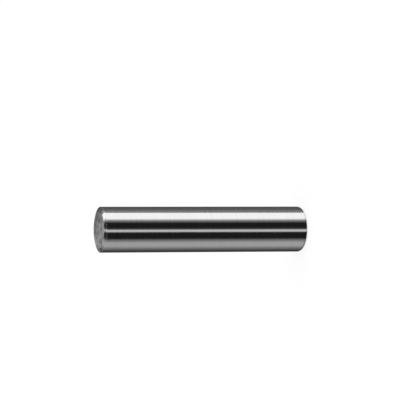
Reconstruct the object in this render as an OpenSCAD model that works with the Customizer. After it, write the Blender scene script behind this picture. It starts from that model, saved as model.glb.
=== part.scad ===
// Hardened and ground dowel pin: one solid steel cylinder that presses into a reamed hole.
// Its lead end is rounded so that it finds the hole, and its upper end is flat for the press.
// Sizes are in millimetres. The pin stands on its lead end, with its axis along +Z
// and the origin in the middle of the lead end's face.

/* [Barrel] */
// Ground diameter of the barrel
pin_d = 6; // [3:0.5:12]
// Length from end face to end face
pin_l = 28; // [12:1:60]

/* [Upper end] */
// How far down the barrel the upper edge's shallow chamfer reaches
edge_l = 0.2; // [0.1:0.05:0.6]
// How much that chamfer takes off the pin's radius at the upper face
edge_drop = 0.55; // [0.1:0.05:0.8]

/* [Lead end] */
// How far up the barrel the lead rounding runs
lead_l = 0.55; // [0.5:0.05:1.5]
// How much the lead rounding takes off the pin's radius at the face
lead_drop = 0.5; // [0.2:0.05:0.5]

/* [Hidden] */
$fn = 128;
pin_r = pin_d / 2;
// The arc that leaves the barrel without a step and meets the face lead_drop further in
lead_r = (lead_l * lead_l + lead_drop * lead_drop) / (2 * lead_drop);
// How far the lead cutter reaches past the bar, so that no two faces coincide
cut_over = 0.5;
steel = [0.72, 0.72, 0.73];

// Takes the lower corner off the half section and leaves the lead arc
module lead_cut() {
    difference() {
        translate([pin_r - lead_r, -cut_over])
            square([lead_r + cut_over, lead_l + cut_over]);
        translate([pin_r - lead_r, lead_l])
            circle(r = lead_r);
    }
}

// The bar's half section with the upper edge chamfered, and its axis along the left side
module bar_section() {
    polygon([
        [0, 0],
        [pin_r, 0],
        [pin_r, pin_l - edge_l],
        [pin_r - edge_drop, pin_l],
        [0, pin_l]
    ]);
}

// The whole pin, turned about its axis
module pin() {
    color(steel)
        rotate_extrude()
            difference() {
                bar_section();
                lead_cut();
            }
}

pin();
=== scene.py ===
# %% [markdown]
# # A ground dowel pin
# A dowel pin is a short steel bar, turned to length, hardened, and then ground so finely that its
# barrel mirrors the room. It locates two parts on each other. The one in this lesson is 6 mm across
# and 28 mm long and stands on its lead end. Only two things give such a plain object its look: what
# its barrel mirrors, and the small roundings at its two ends. Both get most of the work below.

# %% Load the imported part
import math

import bmesh
import bpy
from mathutils import Matrix, Vector


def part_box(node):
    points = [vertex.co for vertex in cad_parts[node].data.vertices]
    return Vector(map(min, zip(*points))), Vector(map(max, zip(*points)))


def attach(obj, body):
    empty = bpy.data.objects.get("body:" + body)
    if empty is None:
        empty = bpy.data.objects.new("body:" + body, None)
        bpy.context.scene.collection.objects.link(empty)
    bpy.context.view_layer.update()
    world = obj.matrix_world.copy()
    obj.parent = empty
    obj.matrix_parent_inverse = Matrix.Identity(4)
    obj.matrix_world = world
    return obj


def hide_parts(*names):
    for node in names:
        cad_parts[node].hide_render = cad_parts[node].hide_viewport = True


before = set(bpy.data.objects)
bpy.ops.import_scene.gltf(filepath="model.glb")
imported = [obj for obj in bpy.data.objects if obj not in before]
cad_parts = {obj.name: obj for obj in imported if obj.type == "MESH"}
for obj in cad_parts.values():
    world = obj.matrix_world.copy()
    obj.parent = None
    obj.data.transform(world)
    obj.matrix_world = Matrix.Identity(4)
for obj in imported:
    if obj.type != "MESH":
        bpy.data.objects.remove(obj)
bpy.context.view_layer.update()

# %% [markdown]
# ## Sizes
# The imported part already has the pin's length and diameter, so they are read from its box. The
# forms of its ends are too small to read from a box and are named here, in metres: how far each
# reaches along the barrel, its rise, and how far in from it, its step. An arc that leaves the
# barrel without a corner, and has the lead end's rise and step, can have only one radius.

# %% Name the sizes
MM = 0.001
foot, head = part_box("pin")
pin_radius = round((head.x - foot.x) / 2, 5)
pin_length = round(head.z - foot.z, 5)
chamfer_rise, chamfer_step = 0.2 * MM, 0.55 * MM
lead_rise, lead_step = 0.55 * MM, 0.5 * MM
lead_radius = (lead_rise ** 2 + lead_step ** 2) / (2 * lead_step)
lead_sweep = math.pi / 2 - math.atan2(lead_radius - lead_step, lead_rise)
print("radius", pin_radius, "length", pin_length, "lead radius", round(lead_radius, 6))

# %% [markdown]
# ## Drawing the section with two tools
# On a lathe the pin's shape comes from the path of the cutting tool, and the same path works here.
# It needs two moves. A straight cut is a vertex that is extruded and pushed along. A rounded cut is
# a vertex that is spun about the centre of its arc. A bevelled cylinder would be quicker, but a
# bevel cuts as deep as it is long, and neither of this pin's ends does.

# %% Straight and rounded cuts
def straight_cut(section, tip, end, stops=1):
    """Extrudes the path from tip to end in equal stretches, and returns its new tip."""
    stride = (Vector(end) - tip.co) / stops
    for _ in range(stops):
        tip = bmesh.ops.extrude_vert_indiv(section, verts=[tip])["verts"][0]
        bmesh.ops.translate(section, verts=[tip], vec=stride)
    return tip


def rounded_cut(section, tip, centre, sweep, stops):
    """Spins the path's tip about centre, outwards and up, and returns its new tip."""
    arc = bmesh.ops.spin(
        section, geom=[tip], cent=centre, axis=(0, -1, 0), angle=sweep, steps=stops
    )
    return [corner for corner in arc["geom_last"] if isinstance(corner, bmesh.types.BMVert)][0]


# %% [markdown]
# ## The lower half of the section
# The path starts in the middle of the lead face, runs round the lead arc and then up the barrel.
# Smooth shading blends the direction of each face into its neighbours, which would make the flat
# faces and the straight barrel look bent near a rounding. A short stretch next to each rounding, a
# holding stretch, keeps that blending to a hair's width.

# %% Draw the lead end
hold = 0.05 * MM
face_stops, barrel_stops, lead_stops, ease_stops = 6, 24, 14, 4
lead_rim = pin_radius - lead_step
lead_centre = (pin_radius - lead_radius, 0, lead_rise)

section = bmesh.new()
tip = section.verts.new((0, 0, 0))
tip = straight_cut(section, tip, (lead_rim - hold, 0, 0), face_stops)
tip = straight_cut(section, tip, (lead_rim, 0, 0))
tip = rounded_cut(section, tip, lead_centre, lead_sweep, lead_stops)
tip = straight_cut(section, tip, (pin_radius, 0, lead_rise + hold))
print("points in the lead end:", len(section.verts))

# %% [markdown]
# ## The upper half
# The upper edge has a shallow chamfer, a narrow cone between the barrel and the flat face. No real
# edge is perfectly sharp, and the thin bright line that the eye expects on an edge is light on its
# tiny rounding. So both corners of the chamfer are eased by an arc that touches the stretches on
# either side. Such an arc starts before the corner by its radius times the tangent of half the
# turn.

# %% Draw the upper end
ease = 0.008 * MM
chamfer_lean = math.atan2(chamfer_step, chamfer_rise)
ease_below = ease * math.tan(chamfer_lean / 2)
ease_above = ease * math.tan((math.pi / 2 - chamfer_lean) / 2)
barrel_end = pin_length - chamfer_rise - ease_below
upper_rim = pin_radius - chamfer_step - ease_above
rim_centre = Vector((upper_rim, 0, pin_length - ease))
cone_end = rim_centre + ease * Vector((math.cos(chamfer_lean), 0, math.sin(chamfer_lean)))

tip = straight_cut(section, tip, (pin_radius, 0, barrel_end - hold), barrel_stops)
tip = straight_cut(section, tip, (pin_radius, 0, barrel_end))
tip = rounded_cut(section, tip, (pin_radius - ease, 0, barrel_end), chamfer_lean, ease_stops)
cone_start = tip.co.copy()
tip = straight_cut(section, tip, cone_start.lerp(cone_end, 0.1))
tip = straight_cut(section, tip, cone_start.lerp(cone_end, 0.9))
tip = straight_cut(section, tip, cone_end)
tip = rounded_cut(section, tip, rim_centre, math.pi / 2 - chamfer_lean, ease_stops)
tip = straight_cut(section, tip, (upper_rim - hold, 0, pin_length))
tip = straight_cut(section, tip, (0, 0, pin_length), face_stops)
print("points in the half section:", len(section.verts))

# %% [markdown]
# ## Turning it
# The section is spun once round the pin's own axis. The first and last copies are merged, and so
# are the copies of the two points on the axis, or there would be a seam and two pinholes. Only
# after that are the normals recalculated, because a spin can leave a shape inside out.

# %% Turn the section into the pin
steps_round = 192
bmesh.ops.spin(
    section,
    geom=section.verts[:] + section.edges[:],
    cent=(0, 0, 0),
    axis=(0, 0, 1),
    angle=2 * math.pi,
    steps=steps_round,
    use_merge=True,
)
bmesh.ops.remove_doubles(section, verts=section.verts[:], dist=0.001 * MM)
bmesh.ops.recalc_face_normals(section, faces=section.faces[:])
print("faces in the pin:", len(section.faces))

# %% [markdown]
# ## The same order every time
# The spin makes the same points and the same faces at every run, but it hands back the faces in an
# order that changes. Nothing in the shape depends on that order, but a mesh file written from it
# would differ from run to run. So the faces are sorted. A sort needs one number for each face, and
# its three lowest corners make one that no other face has.

# %% Sort the faces, then set their shading and finish
section.verts.index_update()
points_in_all = len(section.verts)


def place_in_order(face):
    """Numbers a face by its three lowest corners."""
    number = 0
    for corner in sorted(corner.index for corner in face.verts)[:3]:
        number = number * points_in_all + corner
    return number


section.faces.sort(key=place_in_order)
places = {place_in_order(face) for face in section.faces}
print("faces that share a place:", len(section.faces) - len(places))

GROUND, CUT = 0, 1
flat_enough, sharp_from = 0.999, math.radians(30)
for face in section.faces:
    face.smooth = True
    face.material_index = CUT if abs(face.normal.z) > flat_enough else GROUND

pin_mesh = bpy.data.meshes.new("dowel_pin")
section.to_mesh(pin_mesh)
section.free()
pin_mesh.set_sharp_from_angle(angle=sharp_from)
pin = bpy.data.objects.new("dowel_pin", pin_mesh)
bpy.context.scene.collection.objects.link(pin)
ground_faces = [face for face in pin_mesh.polygons if face.material_index == GROUND]
print("faces with the ground finish:", len(ground_faces))

# %% [markdown]
# ## A small kit for finishes
# Every finish here is a node tree, so a few helpers keep them short. One adds a node and fills or
# links its sockets, one starts a material, and one maps noise, whose values crowd round 0.5, to the
# range that a finish needs.

# %% Node helpers
def add_node(tree, kind, inputs=None, **settings):
    """Adds a node, sets its plain settings, and fills or links the sockets named in inputs."""
    node = tree.nodes.new(kind)
    for name, value in settings.items():
        setattr(node, name, value)
    for name, value in (inputs or {}).items():
        if isinstance(value, bpy.types.NodeSocket):
            tree.links.new(value, node.inputs[name])
        else:
            node.inputs[name].default_value = value
    return node


def new_material(name):
    """Makes a material with an empty node tree."""
    material = bpy.data.materials.new(name)
    material.use_nodes = True
    material.node_tree.nodes.clear()
    return material, material.node_tree


def spread(tree, noise, low, high):
    """Maps a noise value of 0.3 to 0.7, where nearly all of it lies, to low to high."""
    inputs = {"Value": noise, "From Min": 0.3, "From Max": 0.7, "To Min": low, "To Max": high}
    return add_node(tree, "ShaderNodeMapRange", inputs).outputs["Result"]


# %% [markdown]
# ## The ground barrel
# A grinding wheel leaves marks that run round the pin, each a few hundredths of a millimetre wide.
# They are too fine to model, so they are noise that is squeezed along the axis: nearly the same all
# round, and new at every step up. It steers the shade, the roughness and a shallow bump. Such marks
# blur a reflection up and down the barrel but hardly round it, and that is why the bands on a
# ground pin are so straight.

# %% Make the ground finish
ground, tree = new_material("ground_steel")
place = add_node(tree, "ShaderNodeTexCoord").outputs["Object"]
round_scale, along_scale, cloud_scale = 150, 16000, 420.0
squeeze = {"Vector": place, "Scale": (round_scale, round_scale, along_scale)}
squeezed = add_node(tree, "ShaderNodeMapping", squeeze).outputs["Vector"]
marks = add_node(
    tree, "ShaderNodeTexNoise", {"Vector": squeezed, "Scale": 1.0, "Detail": 3.0}
).outputs["Fac"]
clouds = add_node(
    tree, "ShaderNodeTexNoise", {"Vector": place, "Scale": cloud_scale, "Detail": 2.0}
).outputs["Fac"]
rough = add_node(
    tree,
    "ShaderNodeMath",
    {0: spread(tree, marks, 0.08, 0.13), 1: spread(tree, clouds, -0.015, 0.015)},
    operation="ADD",
).outputs["Value"]
scored = add_node(
    tree, "ShaderNodeBump", {"Height": marks, "Strength": 0.25, "Distance": 0.002 * MM}
).outputs["Normal"]
shader = add_node(
    tree,
    "ShaderNodeBsdfPrincipled",
    {
        "Base Color": spread(tree, marks, 0.60, 0.66),
        "Metallic": 1.0,
        "Roughness": rough,
        "Normal": scored,
    },
).outputs["BSDF"]
add_node(tree, "ShaderNodeOutputMaterial", {"Surface": shader})
print("nodes in the ground finish:", len(tree.nodes))

# %% [markdown]
# ## The cut ends
# The ends aren't ground. They are darker and much rougher than the barrel, and mottled, with faint
# rings of the cut-off tool. The rings are a wave that runs out from the axis, bent slightly by
# noise so that no two are alike. In the photograph the face is darker towards its upper side, and
# painted shade gives that: the face's colour darkens steadily across it towards that side, fitted
# to the photograph. It is a fit to the photograph, so its cause, in the steel or in the light, is
# left open.

# %% Make the cut finish
cut, tree = new_material("cut_steel")
ring_scale, mottle_scale, painted_shade_reach = 900.0, 1700.0, 3.2 * MM
place = add_node(tree, "ShaderNodeTexCoord").outputs["Object"]
rings = add_node(
    tree,
    "ShaderNodeTexWave",
    {"Vector": place, "Scale": ring_scale, "Distortion": 1.2, "Detail": 3.0, "Detail Scale": 2.0},
    wave_type="RINGS",
    rings_direction="Z",
).outputs["Fac"]
mottle = add_node(
    tree,
    "ShaderNodeTexNoise",
    {"Vector": place, "Scale": mottle_scale, "Detail": 4.0, "Roughness": 0.6},
).outputs["Fac"]
mottled = add_node(
    tree,
    "ShaderNodeMath",
    {0: spread(tree, mottle, 0.085, 0.285), 1: spread(tree, rings, 0.0, 0.015)},
    operation="ADD",
).outputs["Value"]
# Painted shade: the face's colour is darkened towards its upper side by a steady fall across it.
painted_shade_side = Vector((1.0, 0.45, 0.0)) / painted_shade_reach
side = add_node(
    tree, "ShaderNodeVectorMath", {0: place, 1: painted_shade_side}, operation="DOT_PRODUCT"
).outputs["Value"]
painted_shade_fall = {"Value": side, "From Min": -0.3, "From Max": 0.8, "To Min": 1.26, "To Max": 0.43}
shade = add_node(tree, "ShaderNodeMapRange", painted_shade_fall).outputs["Result"]
mottled_with_painted_shade = add_node(
    tree, "ShaderNodeMath", {0: mottled, 1: shade}, operation="MULTIPLY"
).outputs["Value"]
ringed = add_node(
    tree, "ShaderNodeBump", {"Height": rings, "Strength": 0.15, "Distance": 0.01 * MM}
).outputs["Normal"]
pitted = add_node(
    tree,
    "ShaderNodeBump",
    {"Height": mottle, "Strength": 0.3, "Distance": 0.02 * MM, "Normal": ringed},
).outputs["Normal"]
shader = add_node(
    tree,
    "ShaderNodeBsdfPrincipled",
    {
        "Base Color": mottled_with_painted_shade,
        "Metallic": 1.0,
        "Roughness": spread(tree, mottle, 0.50, 0.38),
        "Normal": pitted,
    },
).outputs["BSDF"]
add_node(tree, "ShaderNodeOutputMaterial", {"Surface": shader})
pin_mesh.materials.append(ground)
pin_mesh.materials.append(cut)
print("nodes in the cut finish:", len(tree.nodes))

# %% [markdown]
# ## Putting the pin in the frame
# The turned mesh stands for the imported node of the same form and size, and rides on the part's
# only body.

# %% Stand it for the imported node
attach(pin, "root")
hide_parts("pin")

# %% [markdown]
# ## A white floor in even light
# The photograph's ground is plain white. The world gives a level of about 1 from all sides, at
# which a colour renders as it is written, and a white floor catches the pin's soft shadow. Where a
# camera, glossy or transmission ray looks at the floor, most of what it sees is a plain white glow,
# so the ground is full white with a faint shadow, and no more light falls on the pin.

# %% Make the world and the floor
sky_level, lamp_share, floor_white, glow_share, glow_level = 0.9, 0.1, 0.95, 0.75, 1.05


def looked_at(tree):
    """Gives 1 where a camera, glossy or transmission ray arrives, and 0 elsewhere."""
    path = add_node(tree, "ShaderNodeLightPath").outputs
    either = add_node(
        tree,
        "ShaderNodeMath",
        {0: path["Is Camera Ray"], 1: path["Is Glossy Ray"]},
        operation="MAXIMUM",
    ).outputs["Value"]
    return add_node(
        tree, "ShaderNodeMath", {0: either, 1: path["Is Transmission Ray"]}, operation="MAXIMUM"
    ).outputs["Value"]


world = bpy.data.worlds.new("even_light")
world.use_nodes = True
world.node_tree.nodes.clear()
level = add_node(
    world.node_tree,
    "ShaderNodeMapRange",
    {"Value": looked_at(world.node_tree), "To Min": sky_level, "To Max": 1.0},
).outputs["Result"]
sky = add_node(
    world.node_tree, "ShaderNodeBackground", {"Color": (1, 1, 1, 1), "Strength": level}
).outputs["Background"]
add_node(world.node_tree, "ShaderNodeOutputWorld", {"Surface": sky})
bpy.context.scene.world = world

paper, tree = new_material("white_paper")
matt = add_node(
    tree, "ShaderNodeBsdfDiffuse", {"Color": (floor_white, floor_white, floor_white, 1)}
).outputs["BSDF"]
share = add_node(
    tree, "ShaderNodeMath", {0: looked_at(tree), 1: glow_share}, operation="MULTIPLY"
).outputs["Value"]
glow = add_node(tree, "ShaderNodeEmission", {"Strength": glow_level}).outputs["Emission"]
both = add_node(tree, "ShaderNodeMixShader", {0: share, 1: matt, 2: glow}).outputs["Shader"]
add_node(tree, "ShaderNodeOutputMaterial", {"Surface": both})

floor_reach = 3.0
sheet = bmesh.new()
bmesh.ops.create_circle(sheet, cap_ends=True, segments=64, radius=floor_reach)
floor_mesh = bpy.data.meshes.new("floor")
sheet.to_mesh(floor_mesh)
sheet.free()
floor = bpy.data.objects.new("floor", floor_mesh)
bpy.context.scene.collection.objects.link(floor)
floor_mesh.materials.append(paper)
print("floor radius, m:", floor_reach)

# %% [markdown]
# ## The camera
# In the photograph the pin lies across the picture with its near end at the left. Here it stands,
# so the camera is rolled a quarter turn: what is up on the pin points to the left of the picture.
# The view looks down at the pin by an angle that fits its outline at the length chosen for it. A
# long lens, 8 degrees of view, keeps the barrel's two edges almost parallel.

# %% Set the camera
frame_pixels = 400
look_down = math.radians(18.4)
pixel_size = 0.1318 * MM
focal_pixels = 2860
pin_off_right, pin_off_down = 0.8, 29.4

forward = Vector((0, math.cos(look_down), -math.sin(look_down)))
picture_up = Vector((1, 0, 0))
picture_right = forward.cross(picture_up)
pin_middle = Vector((0, 0, pin_length / 2))
eye = pin_middle - forward * focal_pixels * pixel_size
eye -= picture_right * pin_off_right * pixel_size
eye += picture_up * pin_off_down * pixel_size

camera_data = bpy.data.cameras.new("camera")
camera_data.sensor_width = 36
camera_data.lens = camera_data.sensor_width * focal_pixels / frame_pixels
camera_data.clip_start, camera_data.clip_end = 0.01, 20
camera = bpy.data.objects.new("camera", camera_data)
camera.matrix_world = Matrix.LocRotScale(
    eye, Matrix((picture_right, picture_up, -forward)).transposed(), None
)
bpy.context.scene.collection.objects.link(camera)
bpy.context.scene.camera = camera
print("camera, mm:", [round(side / MM) for side in eye], "lens:", round(camera_data.lens))

# %% [markdown]
# ## Cards for the steel to mirror
# A polished cylinder shows nothing of its own: each strip of it mirrors one direction of the room.
# Product photographers set cards round such an object, bright and black, and their edges become the
# long straight bands on the metal. Here each card is described by where its reflection lies across
# the pin in the picture, from -1 at the lower edge to 1 at the upper one: its start, its end, its
# soft edge before and after them, and its brightness. Where cards overlap they add up, and
# elsewhere the room is nearly black. The numbers were found by comparing one render after
# another with the photograph. They suit that one view and needn't be the real studio's.

# %% List the cards
room_dark = 0.016
cards = {
    "key softbox": (0.48, 0.726, 0.08, 0.01, 1.05),
    "key softbox spill": (0.415, 0.731, 0.13, 0.01, 0.35),
    "side wall": (0.75, 0.93, 0.01, 0.15, 0.12),
    "side wall near edge": (0.75, 0.775, 0.01, 0.11, 0.19),
    "slim strip": (-0.079, -0.027, 0.045, 0.045, 0.73),
    "slim strip spill": (-0.10, 0.03, 0.03, 0.07, 0.04),
    "low grey board": (-0.72, -0.578, 0.195, 0.195, 0.50),
    "dark wall": (-1.0, -0.885, 0.02, 0.06, 0.05),
}


def card_share(height, card):
    """How much of a card's brightness it shows at a height: 1 on it, falling over its edges."""
    start, end, before, after, _ = card
    return max(0.0, min(1.0, (height - start + before) / before, (end + after - height) / after))


def room_level(height):
    """Brightness of all the cards together at a height."""
    return room_dark + sum(card[4] * card_share(height, card) for card in cards.values())


corners = {-1.0, 1.0}
for start, end, before, after, _ in cards.values():
    corners |= {start - before, start, end, end + after}
corners = sorted(corner for corner in corners if -1 <= corner <= 1)
room_peak = max(room_level(corner) for corner in corners)
print("corners of the cards:", len(corners), "peak:", round(room_peak, 2))

# %% [markdown]
# ## A dome that holds the cards
# Cards near the pin would bend its bands towards the foot, where a mirrored ray lands close by. On
# a dome that is very large beside the pin only the direction counts, so the bands stay straight to
# the very end. The dome is hidden from every ray but a glossy one: it lights nothing and casts no
# shadow. The floor lets glossy rays through, because the barrel looks down into the dome's lower
# half.

# %% Build the dome
dome_radius = 1.0
shell = bmesh.new()
bmesh.ops.create_uvsphere(shell, u_segments=72, v_segments=36, radius=dome_radius)
dome_mesh = bpy.data.meshes.new("card_dome")
shell.to_mesh(dome_mesh)
shell.free()
dome = bpy.data.objects.new("card_dome", dome_mesh)
dome.location = pin_middle
bpy.context.scene.collection.objects.link(dome)
dome.visible_camera = False
dome.visible_diffuse = False
dome.visible_transmission = False
dome.visible_volume_scatter = False
dome.visible_shadow = False
floor.visible_glossy = False
print("dome radius, m:", dome_radius)

# %% [markdown]
# ## From a mirrored direction to a place on the pin
# Steel mirrors a direction to the camera where it faces half-way between the two. So the sum of
# both directions, made one long, is the facing that mirrors a point of the dome. That gives the
# place too: a patch of the barrel that faces x to the side lies x of the way across. On the lead
# rounding the facing also tips down, and the arc has drawn in. Divided by the level part of the
# facing, x says how far round the smaller circle the patch lies, and the circle is smaller by the
# arc's share of the radius. Laid out by this, the bands run straight over the rounding as well. The
# chamfer faces up instead of down, and a share of its own suits it. All this takes one camera
# direction for the whole pin, and that lets the bands drift a little between its foot and its top.
# A last small term takes the drift out and adds the slight lean of the photographed bands.

# %% Work out the facing and the height
card_paint, tree = new_material("card_glow")
place = add_node(tree, "ShaderNodeTexCoord").outputs["Object"]
mirrored = add_node(
    tree, "ShaderNodeVectorMath", {0: place}, operation="NORMALIZE"
).outputs["Vector"]
between = add_node(
    tree, "ShaderNodeVectorMath", {0: mirrored, 1: -forward}, operation="ADD"
).outputs["Vector"]
facing = add_node(
    tree, "ShaderNodeVectorMath", {0: between}, operation="NORMALIZE"
).outputs["Vector"]
split = add_node(tree, "ShaderNodeSeparateXYZ", {"Vector": facing}).outputs


def reckon(operation, first, second=0.0):
    """Adds a Math node on two numbers or sockets."""
    return add_node(
        tree, "ShaderNodeMath", {0: first, 1: second}, operation=operation
    ).outputs["Value"]


def smooth_step(value, start, full, low=0.0, high=1.0):
    """Adds a soft step from low, where the value is at start, to high, where it is at full."""
    if start > full:
        start, full, low, high = full, start, high, low
    inputs = {"Value": value, "From Min": start, "From Max": full, "To Min": low, "To Max": high}
    return add_node(
        tree, "ShaderNodeMapRange", inputs, interpolation_type="SMOOTHSTEP"
    ).outputs["Result"]


arc_share, chamfer_share, barrel_tilt = lead_radius / pin_radius, 0.08, 0.05
edge_share = smooth_step(split["Z"], -barrel_tilt, barrel_tilt, arc_share, chamfer_share)
level_part = reckon("SQRT", reckon("SUBTRACT", 1.0, reckon("MULTIPLY", split["Z"], split["Z"])))
whole = reckon("DIVIDE", reckon("SUBTRACT", 1.0, edge_share), level_part)
height = reckon("MULTIPLY", split["X"], reckon("ADD", whole, edge_share))
drift_reach, lean, lean_by_height = 0.025, 0.0042, 0.0085
tipped = {
    "Value": reckon("MULTIPLY", split["Z"], split["Y"]),
    "From Min": -drift_reach,
    "From Max": drift_reach,
    "To Min": -1.0,
    "To Max": 1.0,
}
footwards = add_node(tree, "ShaderNodeMapRange", tipped).outputs["Result"]
leaning = reckon("ADD", reckon("MULTIPLY", height, lean_by_height), lean)
height = reckon("ADD", height, reckon("MULTIPLY", footwards, leaning))
print("arc's share of the radius:", round(arc_share, 3))

# %% [markdown]
# A colour ramp gives each height its level. Four things cover parts of the cards. Straight behind
# the pin all of them would meet in one point, so a plain grey patch lies over it. The lead rounding
# mirrors a black cloth where the camera sees it at a slant, and that draws its outline, but the
# cloth is thin before the bright cards. Patches that face away from the camera, which only the
# chamfer's far side has, mirror a grey wall that is darker towards the key side. And above the
# horizon the room is white. Only the patches that the chamfer shows stay as they are, so the white
# lights the flat upper face from every side.

# %% Paint the cards, the wall and the backdrop on the dome
cloth_level, cloth_starts, cloth_full = 0.35, -0.1, -0.3
slant_full, slant_ends = 0.35, 0.75
dull_below, bright_above, bright_share = 0.55, 0.75, 0.4
patch_level, patch_full, patch_ends = 0.09, 0.05, 0.12
wall_dark, wall_light, wall_turns, wall_starts, wall_full = 0.11, 0.20, 0.15, -0.09, 0.0
white_level, horizon_starts, horizon_full = 1.0, 0.02, 0.14
chamfer_low, chamfer_high, chamfer_soft = 0.89, 0.965, 0.025
across = add_node(
    tree, "ShaderNodeMapRange", {"Value": height, "From Min": -1.0, "From Max": 1.0}
).outputs["Result"]
ramp_node = add_node(tree, "ShaderNodeValToRGB", {"Fac": across})
ramp = ramp_node.color_ramp
while len(ramp.elements) > 1:
    ramp.elements.remove(ramp.elements[-1])
for count, corner in enumerate(corners):
    position = (corner + 1) / 2
    stop = ramp.elements[0] if count == 0 else ramp.elements.new(position)
    stop.position = position
    share = room_level(corner) / room_peak
    stop.color = (share, share, share, 1)
level = reckon("MULTIPLY", ramp_node.outputs["Color"], room_peak)
towards = add_node(
    tree, "ShaderNodeVectorMath", {0: facing, 1: -forward}, operation="DOT_PRODUCT"
).outputs["Value"]
tipped_down = smooth_step(split["Z"], cloth_starts, cloth_full)
slanted = smooth_step(towards, slant_ends, slant_full)
dull = smooth_step(level, bright_above, dull_below, bright_share)
cloth = reckon("MULTIPLY", reckon("MULTIPLY", tipped_down, slanted), dull)


def cover(share, below, above):
    """Lays one level over another where share is 1."""
    return add_node(
        tree, "ShaderNodeMix", {"Factor": share, "A": below, "B": above}
    ).outputs["Result"]


level = reckon("MULTIPLY", level, cover(cloth, 1.0, cloth_level))
level = cover(smooth_step(towards, patch_ends, patch_full), level, patch_level)
wall = smooth_step(split["X"], -wall_turns, wall_turns, wall_light, wall_dark)
level = cover(smooth_step(split["Y"], wall_starts, wall_full), level, wall)
direction = add_node(tree, "ShaderNodeSeparateXYZ", {"Vector": mirrored}).outputs
above = smooth_step(direction["Z"], horizon_starts, horizon_full)
below_chamfer = smooth_step(split["Z"], chamfer_low, chamfer_low - chamfer_soft)
above_chamfer = smooth_step(split["Z"], chamfer_high, chamfer_high + chamfer_soft)
off_chamfer = reckon("ADD", below_chamfer, above_chamfer)
shown = cover(reckon("MULTIPLY", above, off_chamfer), level, white_level)
glow = add_node(tree, "ShaderNodeEmission", {"Strength": shown}).outputs["Emission"]
add_node(tree, "ShaderNodeOutputMaterial", {"Surface": glow})
dome_mesh.materials.append(card_paint)
print("stops on the ramp:", len(ramp.elements))

# %% [markdown]
# ## One soft lamp
# The sky does nearly all the lighting. A wide lamp above the key side adds a tenth of it and gives
# the floor's shadow a direction. Glossy rays don't see it, so it draws no window on the steel.

# %% Hang the lamp
lamp_data = bpy.data.lights.new("soft_lamp", "AREA")
lamp_data.shape = "DISK"
lamp_data.size = 0.6
lamp_side, lamp_front, lamp_height = 0.25, -0.15, 0.8
lamp_data.energy = lamp_share * math.pi * math.pi * lamp_height ** 2
lamp = bpy.data.objects.new("soft_lamp", lamp_data)
lamp.location = (lamp_side, lamp_front, lamp_height)
lamp.rotation_euler = (-lamp.location).to_track_quat("-Z", "Y").to_euler()
lamp.visible_glossy = False
bpy.context.scene.collection.objects.link(lamp)
print("lamp power, W:", round(lamp_data.energy, 2))

# %% [markdown]
# ## Colours as they are
# Colours are shown as they are, with no film look.

# %% Finish
bpy.context.scene.view_settings.view_transform = "Standard"
